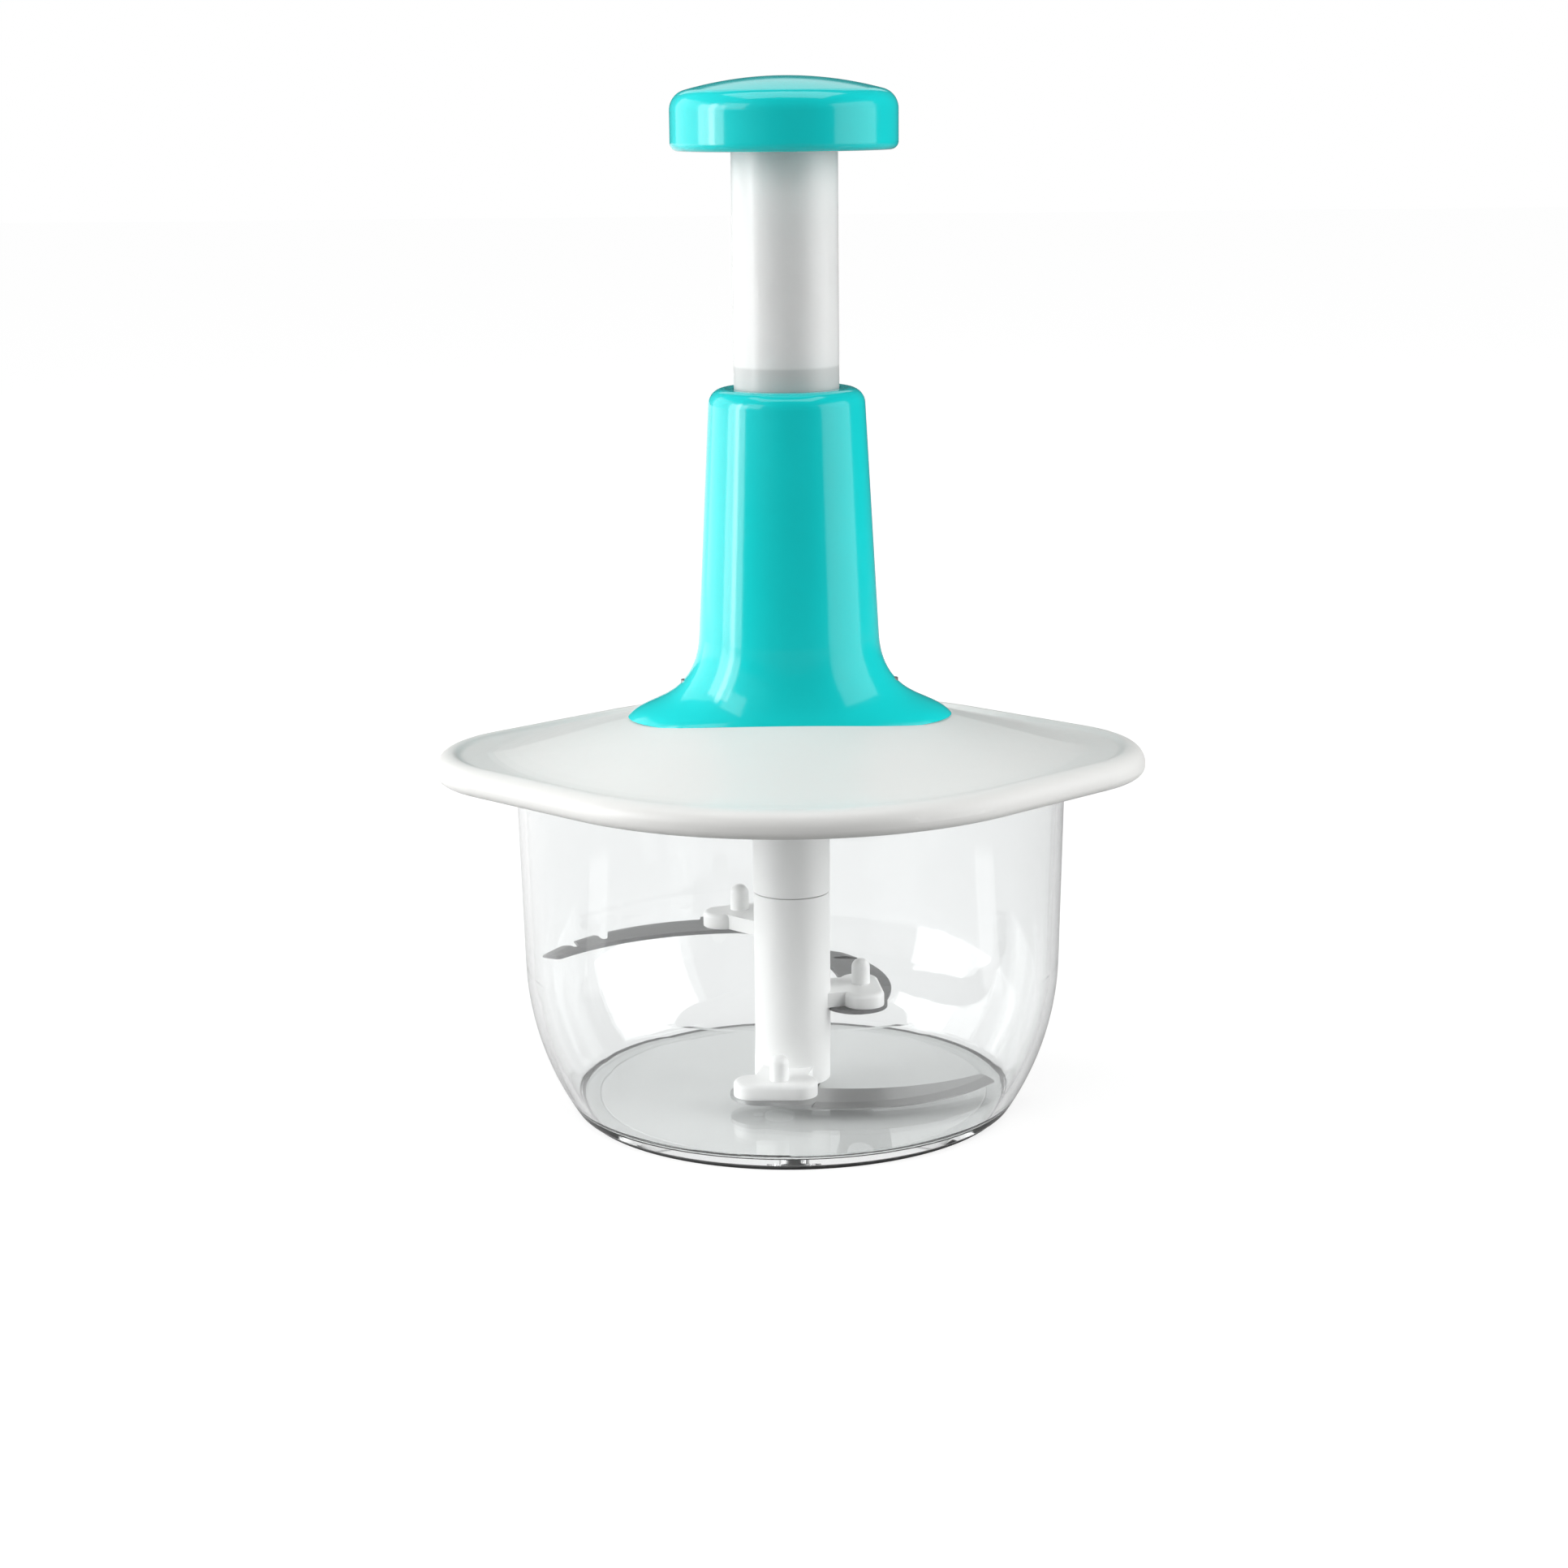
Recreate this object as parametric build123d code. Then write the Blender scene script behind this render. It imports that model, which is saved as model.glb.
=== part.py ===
from build123d import *
import os
from math import asin, atan, cos, dist, pi, radians, sin, sqrt, tan

# Hand-press garlic chopper. Millimetres, +Z up, origin on the axis at the resting face.
# +X runs towards one lid ear, -Y is the front. Heights are stacked up from the table.

# Common clearances and helpers
overrun = 5.0
run_gap = 0.3
slide_gap = 0.1
press_gap = 0.05
full_turn = 360.0
full_circle = 2 * pi
half_share = 0.5
hex_sides = 6
standing = (Align.CENTER, Align.CENTER, Align.MIN)

# Bowl, pad and pivot pin
bowl_rim_radius = 69.8
bowl_rim_height = 90.8
bowl_wall = 2.1
bowl_taper_share = 0.024
bowl_curve_start = 39.0
bowl_curve_radius = 72.0
bowl_foot_round = 1.2
bowl_floor_round = 3.0
bowl_rim_round = 0.8
floor_thickness = 2.0
pad_margin = 1.1
pad_thickness = 1.6
pad_proud = 0.9
pad_edge_round = 0.4
boss_radius = 7.0
boss_height = 1.2
pivot_radius = 2.5
pivot_length = 9.2
pivot_head_radius = 4.5
pivot_head_height = 0.8

# Spindle with its blade brackets, and the foot plug
spindle_radius = 9.8
spindle_bore_radius = 5.6
spindle_shoulder = 56.0
hex_flats = 13.8
hex_length = 18.0
hex_lead = 1.0
foot_flange_radius = 8.0
foot_flange_height = 1.0
foot_plug_height = 18.0
pivot_socket_depth = 7.2
bracket_pin_circle = 18.8
bracket_length = 21.4
bracket_offset = 1.0
bracket_width = 10.4
bracket_thickness = 3.8
bracket_corner = 5.0
bracket_edge_round = 1.2
bracket_neck_width = 13.0
bracket_turn = 20.0
locating_peg_radius = 1.2
locating_peg_offset = 5.8

# Blades and their pins: height of the underside, azimuth of the pin, outward swing about the pin
blade_clearance = 2.6
blade_spacing = 18.4
blade_azimuth_angles = {"bottom": -101.0, "middle": 18.4, "top": 136.5}
blade_swing_angles = {"bottom": 9.4, "middle": 32.7, "top": 48.0}
blade_thickness = 1.0
blade_root_width = 13.5
blade_belly_width = 11.9
blade_tip_width = 5.1
blade_curve_radius = 50.8
blade_curve_angle = 66.0
blade_belly_share = 0.52
blade_heel_radius = 8.0
blade_heel_offset = 4.9
blade_bevel_width = 3.0
blade_bevel_depth = 0.7
blade_tip_round = 1.2
scalloped_levels = ("middle", "top")
scallop_shares = ((0.6, 0.66), (0.79, 0.83))
scallop_depth_share = 0.15
scallop_mouth_radius = 2.2
scallop_end_radius = 0.8
pin_radius = 2.4
pin_stand = 6.6
pin_head_radius = 3.8
pin_head_height = 0.8

# Lid
rim_margin = 4.0
ear_radius = 36.0
ear_reach = 16.4
lid_wall = 2.4
lid_roof = 1.7
rim_drop = 4.2
lip_height = 0.8
lip_width = 5.0
lip_slope = 58.0
lip_round = 4.2
lip_crest_round = 2.0
lip_foot_round = 2.6
lid_bottom_round = 2.0
dome_ear_margin = 13.0
dome_rim_margin = 9.8
dome_height = 13.2
plateau_half_length = 25.2
plateau_half_depth = 18.7
dome_shares = ((0.0, 0.0), (0.8, 0.75), (0.9, 0.852), (0.96, 0.922), (0.99, 0.968), (1.0, 1.0))
skirt_wall = 2.1
skirt_drop = 3.4
seal_height = 1.6
seal_proud = 0.8
seal_bite = 0.9
seal_drop = 0.5

# Plate that closes the lid from below, and its screws
inner_plate_margin = 12.0
inner_plate_thickness = 2.5
hub_screw_count = 3
hub_screw_circle = 36.0
hub_screw_first = 90.0
hub_boss_radius = 4.0
screw_radius = 1.5
screw_head_radius = 3.2
screw_head_height = 1.6
screw_drive_flats = 2.0
screw_drive_depth = 0.9
hub_screw_grip = 5.5

# Drive: twisted rod, nut, ratchet and socket
press_travel = 56.0
rod_lead = 28.0
rod_width = 9.6
rod_thickness = 2.0
rod_length = 168.0
rod_slot_gap = 0.15
nut_radius = 15.0
nut_height = 4.3
tooth_count = 8
tooth_height = 1.5
tooth_inner_radius = 9.5
tooth_length = 5.0
tooth_width = 6.3
tooth_gap = 0.1
socket_radius = 9.9
socket_flange_radius = 15.0
socket_flange_height = 3.1
socket_bore_radius = 6.2
socket_hex_gap = 0.2
socket_hex_relief = 2.0
washer_radius = 14.0
washer_bore_radius = 6.4
washer_thickness = 1.0

# Spring guide and return spring
guide_flange_radius = 17.5
guide_flange_height = 2.5
guide_outer_radius = 11.3
guide_inner_radius = 10.0
guide_length = 82.0
guide_bore_radius = 5.8
guide_spigot_radius = 8.0
spring_outer_radius = 8.5
spring_wire = 1.3
spring_turns = 22
spring_closed_turns = 1
spring_closed_gap = 0.6
spring_least_gap = 0.4
spring_samples_count = 8

# Handle column, guide bush and column screws
column_top_radius = 19.3
column_waist_radius = 22.7
column_top_round = 4.0
column_bore_radius = 16.2
column_lip = 2.6
flare_height = 20.5
flare_half_length = 41.0
flare_half_depth = 25.4
flare_foot_drop = 4.0
flare_shares = ((0.0, 0.0), (0.21, 0.033), (0.41, 0.115), (0.61, 0.28), (0.82, 0.66), (1.0, 1.0))
bush_length = 11.7
column_screw_offset = 26.0
column_screw_grip = 9.0
column_boss_radius = 4.2
column_boss_height = 2.0
key_width = 3.0
key_height = 1.4

# Plunger tube with its stop flange, rod anchor and pin
tube_radius = 13.1
tube_bore_radius = 11.75
stop_radius = 15.6
stop_thickness = 3.5
stop_margin = 2.0
anchor_height = 6.5
anchor_pin_radius = 1.2
anchor_pin_height = 2.8
anchor_pin_inset = 0.1
rod_end_inset = 2.0

# Press knob and its underplate
knob_radius = 27.9
knob_height = 17.8
knob_dome_radius = 92.0
knob_shoulder_round = 5.0
knob_bottom_round = 2.0
knob_wall = 2.4
knob_socket_wall = 2.4
knob_socket_depth = 11.8
knob_press_gap = 1.6
underplate_thickness = 2.0
underplate_inset = 0.4

# Heights stacked from the table, and radii that follow the bowl's rim
bowl_foot = pad_proud
floor_top = pad_thickness + floor_thickness
boss_top = floor_top + boss_height
foot_bottom = boss_top + run_gap
spindle_bottom = foot_bottom + foot_flange_height
foot_top = spindle_bottom + foot_plug_height
hex_top = spindle_shoulder + hex_length
lowest_blade = floor_top + blade_clearance
blade_heights = {"bottom": lowest_blade}
blade_heights["middle"] = blade_heights["bottom"] + blade_spacing
blade_heights["top"] = blade_heights["middle"] + blade_spacing
roof_under = bowl_rim_height + run_gap
roof_top = roof_under + lid_roof
lid_bottom = roof_under - rim_drop
lip_top = roof_top + lip_height
plateau_top = roof_top + dome_height
plateau_under = plateau_top - lid_roof
guide_flange_top = plateau_top + guide_flange_height
guide_top = guide_flange_top + guide_length
stop_bottom = guide_flange_top + stop_margin + press_travel
stop_top = stop_bottom + stop_thickness
bush_bottom = stop_top + run_gap
bush_top = bush_bottom + bush_length
column_top = bush_top + column_lip
flare_foot = plateau_top - flare_foot_drop
flare_top = flare_foot + flare_height
knob_bottom = column_top + press_travel + knob_press_gap
knob_top = knob_bottom + knob_height
tube_top = knob_bottom + knob_socket_depth
anchor_bottom = tube_top - anchor_height
anchor_pin_level = anchor_bottom + anchor_pin_height
anchor_pin_length = (tube_radius - anchor_pin_inset) * 2
rod_top = tube_top - rod_end_inset
rod_bottom = rod_top - rod_length
washer_bottom = plateau_under - washer_thickness
nut_top = washer_bottom - run_gap
nut_base = nut_top - nut_height
socket_flange_top = nut_base - tooth_height - tooth_gap
socket_flange_bottom = socket_flange_top - socket_flange_height
socket_bottom = spindle_shoulder + run_gap
inner_plate_top = socket_flange_bottom - run_gap
inner_plate_bottom = inner_plate_top - inner_plate_thickness
rim_radius = bowl_rim_radius + rim_margin
ear_offset = rim_radius + ear_reach - ear_radius
dome_half_length = ear_offset + ear_radius - dome_ear_margin
dome_half_depth = rim_radius - dome_rim_margin
inner_plate_radius = dome_half_depth - inner_plate_margin
skirt_radius = bowl_rim_radius - bowl_wall - run_gap - seal_proud
underplate_bottom = knob_bottom + underplate_inset
underplate_top = underplate_bottom + underplate_thickness


# Shared shapes
def disc(radius, bottom, top):
    """Cylinder on the axis between two heights."""
    return Pos(0, 0, bottom) * Cylinder(radius, top - bottom, align=standing)


def ring(outer, inner, bottom, top):
    """Tube on the axis between two heights."""
    return disc(outer, bottom, top) - disc(inner, bottom - overrun, top + overrun)


def band(inner, outer, bottom, top):
    """Rectangle of a turned section, radius across and height up."""
    return Pos(inner, bottom) * Rectangle(outer - inner, top - bottom, align=(Align.MIN, Align.MIN))


def turned(section):
    """Solid turned from a section drawn with radius across and height up."""
    return revolve(Plane.XZ * section, Axis.Z)


def round_corner(section, radius_at, height_at, size):
    """Round the corner of a section nearest to a place."""
    corner = section.vertices().sort_by_distance((radius_at, height_at))[0]
    return fillet(corner, size)


def around(count, first):
    """Equal turns about the axis."""
    return [Rot(0, 0, first + full_turn * index / count) for index in range(count)]


# Bowl
def on_bowl_curve(inset, turn):
    """Place on the large arc under the bowl's wall, at a turn below the level of its centre."""
    slope = atan(bowl_taper_share)
    start_radius = bowl_rim_radius - bowl_taper_share * (bowl_rim_height - bowl_curve_start)
    centre_r = start_radius - bowl_curve_radius * cos(slope)
    centre_z = bowl_curve_start + bowl_curve_radius * sin(slope)
    reach = bowl_curve_radius - inset
    return (centre_r + reach * cos(turn), centre_z - reach * sin(turn))


def bowl_turn(inset, height):
    """Turn at which that arc comes down to a height."""
    fall = on_bowl_curve(inset, 0)[1] - height
    return asin(fall / (bowl_curve_radius - inset))


def bowl_outline(inset, low, high):
    """Half section of the bowl's body: a tapered wall running into one large arc."""
    slope = atan(bowl_taper_share)
    low_turn = bowl_turn(inset, low)
    foot = on_bowl_curve(inset, low_turn)
    wall_low = on_bowl_curve(inset, slope)
    wall_high = (wall_low[0] + bowl_taper_share * (high - wall_low[1]), high)
    curve = ThreePointArc(foot, on_bowl_curve(inset, (low_turn + slope) * half_share), wall_low)
    sides = Polyline(wall_low, wall_high, (0, high), (0, low), foot)
    return make_face([curve, *sides.edges()])


foot_radius = on_bowl_curve(0, bowl_turn(0, bowl_foot))[0]
floor_radius = on_bowl_curve(bowl_wall, bowl_turn(bowl_wall, floor_top))[0]
pad_radius = foot_radius - pad_margin


def make_bowl():
    """Clear bowl with a recess for the pad below and a boss for the pivot pin."""
    section = bowl_outline(0, bowl_foot, bowl_rim_height)
    section -= bowl_outline(bowl_wall, floor_top, bowl_rim_height + overrun)
    section -= band(0, pad_radius + press_gap, bowl_foot - overrun, pad_thickness)
    section += band(0, boss_radius, pad_thickness, boss_top)
    section -= band(0, pivot_radius, pad_thickness - overrun, boss_top + overrun)
    section -= band(0, pivot_head_radius, pad_thickness - overrun, pad_thickness + pivot_head_height)
    section = round_corner(section, foot_radius, bowl_foot, bowl_foot_round)
    section = round_corner(section, floor_radius, floor_top, bowl_floor_round)
    section = round_corner(section, bowl_rim_radius, bowl_rim_height, bowl_rim_round)
    return turned(section)


def make_pad():
    """Non-slip disc that the bowl stands on."""
    pad = disc(pad_radius, 0, pad_thickness)
    return fillet(pad.edges().sort_by(Axis.Z)[0], pad_edge_round)


def make_pivot():
    """Steel pin pressed up through the floor, its head covered by the pad."""
    head_top = pad_thickness + pivot_head_height
    shank = disc(pivot_radius, head_top, head_top + pivot_length)
    shank = fillet(shank.edges().sort_by(Axis.Z)[-1], pivot_radius * half_share)
    return disc(pivot_head_radius, pad_thickness, head_top) + shank


# Spindle and blades
def at_bracket(level):
    """Frame at a blade's pin: x along the rotation, y towards the axis, z at the blade's underside."""
    azimuth = radians(blade_azimuth_angles[level])
    place = (bracket_pin_circle * cos(azimuth), bracket_pin_circle * sin(azimuth), blade_heights[level])
    return Location(place, (0, 0, blade_azimuth_angles[level] + full_turn / 4))


def at_blade(level):
    """Frame of a blade: its bracket's frame swung outwards about the pin."""
    return at_bracket(level) * Rot(0, 0, -blade_swing_angles[level])


def make_bracket(level):
    """Rounded pad on a neck, with a peg that stops the blade turning on its pin."""
    on_blade = Pos(0, 0, blade_thickness)
    pad = Pos(-bracket_offset, 0) * RectangleRounded(bracket_length, bracket_width, bracket_corner)
    block = extrude(pad, bracket_thickness)
    block = fillet(block.faces().sort_by(Axis.Z)[-1].edges(), bracket_edge_round)
    neck = Rectangle(bracket_neck_width, bracket_pin_circle, align=(Align.CENTER, Align.MIN))
    placed = at_blade(level) * Rot(0, 0, bracket_turn) * on_blade * block
    placed += at_bracket(level) * on_blade * extrude(neck, bracket_thickness)
    peg = Cylinder(locating_peg_radius, blade_thickness, align=standing)
    placed += at_blade(level) * Pos(-locating_peg_offset, 0) * peg
    return placed - at_bracket(level) * Cylinder(pin_radius + press_gap, overrun * 4)


def make_spindle():
    """Hollow column with three blade brackets and a hexagon on top."""
    hexagon = RegularPolygon(hex_flats * half_share, hex_sides, major_radius=False)
    drive = Pos(0, 0, spindle_shoulder) * extrude(hexagon, hex_length)
    drive = chamfer(drive.faces().sort_by(Axis.Z)[-1].edges(), hex_lead)
    column = disc(spindle_radius, spindle_bottom, spindle_shoulder) + drive
    for level in blade_azimuth_angles:
        column += make_bracket(level)
    return column - disc(spindle_bore_radius, spindle_bottom - overrun, hex_top + overrun)


def make_foot():
    """Plug in the spindle's lower end with the socket for the pivot pin."""
    foot = disc(foot_flange_radius, foot_bottom, spindle_bottom)
    foot += disc(spindle_bore_radius, spindle_bottom, foot_top)
    return foot - disc(pivot_radius + slide_gap, foot_bottom - overrun, foot_bottom + pivot_socket_depth)


def blade_point(share, offset):
    """Place on a blade at a share of its curve, offset outwards from the middle line."""
    turn = radians(blade_curve_angle * share)
    reach = blade_curve_radius + offset
    return (reach * sin(turn), blade_curve_radius - reach * cos(turn))


def make_scallop(mouth_share, end_share):
    """Slanting notch cut in from a blade's outer edge, wide at its mouth."""
    fall_share = (mouth_share - blade_belly_share) / (1 - blade_belly_share)
    edge = (blade_belly_width + (blade_tip_width - blade_belly_width) * fall_share) * half_share
    mouth = Pos(*blade_point(mouth_share, edge + scallop_mouth_radius * half_share))
    end = Pos(*blade_point(end_share, -edge * scallop_depth_share))
    rounds = [*(mouth * Circle(scallop_mouth_radius)).edges(), *(end * Circle(scallop_end_radius)).edges()]
    return extrude(make_hull(rounds), overrun, both=True)


def blade_edge(side):
    """Arc along one edge of a blade: side 1 outside, side -1 inside."""
    stations = ((0, blade_root_width), (blade_belly_share, blade_belly_width), (1, blade_tip_width))
    return ThreePointArc(*[blade_point(share, side * width * half_share) for share, width in stations])


def make_blade(level):
    """Sickle blade with a round heel and a bevelled outer edge; the upper ones have two scallops."""
    outer = blade_edge(1)
    inner = blade_edge(-1)
    tip_end = Line(outer @ 1, inner @ 1)
    root_end = Line(outer @ 0, inner @ 0)
    outline = make_face([outer, inner, tip_end, root_end])
    heel = (Pos(-blade_heel_offset, 0) * Circle(blade_heel_radius)).edges()
    outline += make_hull([*heel, root_end.edge()])
    for corner in (outer @ 1, inner @ 1):
        outline = round_corner(outline, corner.X, corner.Y, blade_tip_round)
    blade = extrude(outline, blade_thickness)
    ground = outer.edge()
    bevel = Cylinder(ground.radius + overrun, blade_bevel_depth, align=standing)
    bevel -= Cone(ground.radius, ground.radius - blade_bevel_width, blade_bevel_depth, align=standing)
    bevel = Pos(ground.arc_center.X, ground.arc_center.Y, blade_thickness - blade_bevel_depth) * bevel
    reach = blade_curve_radius * 2
    ahead = (Align.MIN, Align.CENTER, Align.CENTER)
    blade -= bevel & Pos(bracket_length * half_share, 0) * Box(reach, reach, overrun, align=ahead)
    if level in scalloped_levels:
        blade -= [make_scallop(*shares) for shares in scallop_shares]
    blade -= Cylinder(pin_radius + press_gap, overrun)
    blade -= Pos(-locating_peg_offset, 0) * Cylinder(locating_peg_radius + press_gap, overrun)
    return at_blade(level) * blade - disc(spindle_radius + press_gap, spindle_bottom, spindle_shoulder)


def make_blade_pins():
    """One pin for each blade: a flat head below, a round end standing above the bracket."""
    length = blade_thickness + bracket_thickness + pin_stand
    shank = disc(pin_radius, 0, length)
    shank = fillet(shank.edges().sort_by(Axis.Z)[-1], pin_radius - press_gap)
    pin = shank + disc(pin_head_radius, -pin_head_height, 0)
    return Part() + [at_bracket(level) * pin for level in blade_azimuth_angles]


# Lid and what it carries
def lid_outline(inset):
    """Round plate drawn out to an ear on each side, with straight flanks."""
    rim = rim_radius - inset
    ear = ear_radius - inset
    lean = asin((rim - ear) / ear_offset)
    edges = []
    for side in (1, -1):
        rim_x, rim_y = side * rim * sin(lean), side * rim * cos(lean)
        ear_x, ear_y = side * (ear_offset + ear * sin(lean)), side * ear * cos(lean)
        edges += [
            Line((rim_x, rim_y), (ear_x, ear_y)),
            ThreePointArc((ear_x, ear_y), (side * (ear_offset + ear), 0), (ear_x, -ear_y)),
            Line((ear_x, -ear_y), (rim_x, -rim_y)),
            ThreePointArc((rim_x, -rim_y), (0, -side * rim), (-rim_x, -rim_y)),
        ]
    return make_face(edges)


def dome_section(fall_share, spread_share):
    """Section of the dome at a share of its fall: two arcs that meet in a point on each side."""
    half_length = plateau_half_length + (dome_half_length - plateau_half_length) * spread_share
    half_depth = plateau_half_depth + (dome_half_depth - plateau_half_depth) * spread_share
    front = ThreePointArc((-half_length, 0), (0, -half_depth), (half_length, 0))
    back = ThreePointArc((half_length, 0), (0, half_depth), (-half_length, 0))
    return Pos(0, 0, plateau_top - dome_height * fall_share) * make_face([front, back])


def make_dome():
    """Solid under the lid's sloping faces, ridged towards the ears and flattening out at its foot."""
    return loft([dome_section(*shares) for shares in dome_shares], ruled=True)


def column_screw_places():
    """Places of the two screws that hold the column to the lid."""
    sides = (-column_screw_offset, column_screw_offset)
    return [Pos(side, 0, plateau_under - column_boss_height) for side in sides]


def make_lid():
    """Lid shell: rim with ears, ridged dome, skirt inside the bowl and screw bosses."""
    plate = Pos(0, 0, lid_bottom) * extrude(lid_outline(0), lip_top - lid_bottom)
    plate = fillet(plate.faces().sort_by(Axis.Z)[-1].edges(), lip_round)
    plate = fillet(plate.faces().sort_by(Axis.Z)[0].edges(), lid_bottom_round)
    dish = extrude(lid_outline(lip_width + lip_height * tan(radians(lip_slope))), overrun, taper=-lip_slope)
    dish = fillet(dish.faces().sort_by(Axis.Z)[0].edges(), lip_foot_round)
    plate -= Pos(0, 0, roof_top) * dish
    crest = plate.faces().filter_by(Axis.Z).sort_by(Axis.Z)[-1].inner_wires()[0]
    plate = fillet(crest.edges(), lip_crest_round)
    dome = make_dome()
    outside = plate + dome
    lid = outside - Pos(0, 0, roof_under - overrun) * extrude(lid_outline(lid_wall), overrun)
    lid -= Pos(0, 0, -lid_roof) * dome
    fixings = ring(skirt_radius, skirt_radius - skirt_wall, roof_under - skirt_drop, plateau_top)
    hub_boss = Pos(hub_screw_circle, 0) * disc(hub_boss_radius, inner_plate_top, plateau_top)
    column_boss = disc(column_boss_radius, 0, dome_height)
    fixings += [turn * hub_boss for turn in around(hub_screw_count, hub_screw_first)]
    fixings += [place * column_boss for place in column_screw_places()]
    inner_space = disc(rim_radius, roof_under - skirt_drop, roof_top)
    lid += fixings & (inner_space + dome)
    lid -= disc(guide_spigot_radius + press_gap, plateau_under - overrun, plateau_top + overrun)
    lid -= [
        turn * Pos(hub_screw_circle, 0, inner_plate_top) * Cylinder(screw_radius, hub_screw_grip * 2)
        for turn in around(hub_screw_count, hub_screw_first)
    ]
    lid -= [place * Cylinder(screw_radius, column_screw_grip * 2) for place in column_screw_places()]
    groove = roof_under - skirt_drop + seal_drop
    return lid - ring(skirt_radius + seal_proud, skirt_radius - seal_bite, groove, groove + seal_height)


def make_seal():
    """Soft ring in the skirt's groove, just clear of the bowl's wall."""
    groove = roof_under - skirt_drop + seal_drop
    return ring(skirt_radius + seal_proud, skirt_radius - seal_bite, groove, groove + seal_height)


def make_inner_plate():
    """Disc that closes the dome from below and carries the drive socket."""
    plate = ring(inner_plate_radius, socket_radius + run_gap, inner_plate_bottom, inner_plate_top)
    plate -= [
        turn * Pos(hub_screw_circle, 0, inner_plate_top) * Cylinder(screw_radius + slide_gap, overrun * 2)
        for turn in around(hub_screw_count, hub_screw_first)
    ]
    return plate


def make_screw(length):
    """Pan-head screw with a hexagon recess, its head hanging below the origin."""
    head = disc(screw_head_radius, -screw_head_height, 0)
    head = fillet(head.edges().sort_by(Axis.Z)[0], screw_head_height * half_share)
    recess = extrude(RegularPolygon(screw_drive_flats * half_share, hex_sides, major_radius=False), overrun)
    head -= Pos(0, 0, screw_drive_depth - screw_head_height - overrun) * recess
    return head + disc(screw_radius, 0, length)


def make_hub_screws():
    """Screws that hold the inner plate to the lid."""
    screw = Pos(hub_screw_circle, 0, inner_plate_bottom) * make_screw(inner_plate_thickness + hub_screw_grip)
    return Part() + [turn * screw for turn in around(hub_screw_count, hub_screw_first)]


def make_column_screws():
    """Screws from inside the lid up into the column's foot."""
    screw = make_screw(column_screw_grip)
    return Part() + [place * screw for place in column_screw_places()]


def make_washer():
    """Slip washer under the dome's top, above the nut."""
    return ring(washer_radius, washer_bore_radius, washer_bottom, plateau_under)


def make_spring_guide():
    """Sleeve round the return spring, its flange clamped between lid and column."""
    guide = disc(guide_flange_radius, plateau_top, guide_flange_top)
    guide += disc(guide_outer_radius, guide_flange_top, guide_top)
    guide -= disc(guide_inner_radius, guide_flange_top, guide_top + overrun)
    guide += disc(guide_spigot_radius, plateau_under, plateau_top)
    return guide - disc(guide_bore_radius, plateau_under - overrun, guide_flange_top + overrun)


# Handle column
def flare_section(fall_share, spread_share):
    """Oval section of the column's foot at a share of its fall."""
    half_length = column_waist_radius + (flare_half_length - column_waist_radius) * spread_share
    half_depth = column_waist_radius + (flare_half_depth - column_waist_radius) * spread_share
    return Pos(0, 0, flare_top - flare_height * fall_share) * Ellipse(half_length, half_depth)


def key_bar(gap, height):
    """Bar across the axis whose two ends key the plunger to the column."""
    reach = (stop_radius + key_height + gap) * 2
    return Box(reach, key_width + gap * 2, height, align=standing)


def make_column():
    """Waisted column that flares to an oval foot fitted over the lid's dome."""
    waist = (column_waist_radius, flare_top)
    mouth = (column_top_radius, column_top)
    shaft = make_face(Polyline((0, flare_top), waist, mouth, (0, column_top), (0, flare_top)))
    shaft = round_corner(shaft, column_top_radius, column_top, column_top_round)
    column = turned(shaft) + loft([flare_section(*shares) for shares in flare_shares])
    column -= make_dome()
    column -= disc(guide_flange_radius + press_gap, plateau_top - overrun, guide_flange_top)
    column -= disc(column_bore_radius, plateau_top, bush_top)
    column -= disc(tube_radius + run_gap, bush_top - overrun, column_top + overrun)
    column -= Pos(0, 0, guide_flange_top) * key_bar(run_gap, bush_bottom - guide_flange_top)
    column -= [place * Cylinder(screw_radius, column_screw_grip * 2) for place in column_screw_places()]
    return column


def make_bush():
    """Guide bush in the column's mouth."""
    return ring(column_bore_radius, tube_radius + slide_gap, bush_bottom, bush_top)


# Plunger
def make_tube():
    """Plunger tube with a keyed stop flange at its lower end."""
    tube = disc(tube_radius, stop_bottom, tube_top) + disc(stop_radius, stop_bottom, stop_top)
    tube += Pos(0, 0, stop_bottom) * key_bar(0, stop_thickness)
    tube -= disc(tube_bore_radius, stop_bottom - overrun, tube_top + overrun)
    return tube - make_anchor_pin()


def twisted_bar(width, thickness, bottom, top):
    """Flat bar twisted left-handed about the axis, square to the anchor pin at the pin's level."""
    turn = -full_turn / rod_lead
    section = Pos(0, 0, bottom) * Rectangle(width, thickness)
    bar = Solid.extrude_linear_with_rotation(
        section.face(), (0, 0, bottom), (0, 0, top - bottom), turn * (top - bottom)
    )
    return Rot(0, 0, turn * (bottom - anchor_pin_level)) * bar


def make_anchor_pin():
    """Cross pin through tube, anchor and rod."""
    across = Pos(0, 0, anchor_pin_level) * Rot(full_turn / 4, 0, 0)
    return across * Cylinder(anchor_pin_radius, anchor_pin_length)


def make_rod():
    """Twisted drive rod."""
    return twisted_bar(rod_width, rod_thickness, rod_bottom, rod_top) - make_anchor_pin()


def make_anchor():
    """Plug in the tube's top that holds the rod and seats the spring."""
    anchor = disc(tube_bore_radius, anchor_bottom, tube_top)
    anchor -= twisted_bar(rod_width, rod_thickness, anchor_bottom - overrun, rod_top)
    return anchor - make_anchor_pin()


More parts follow.
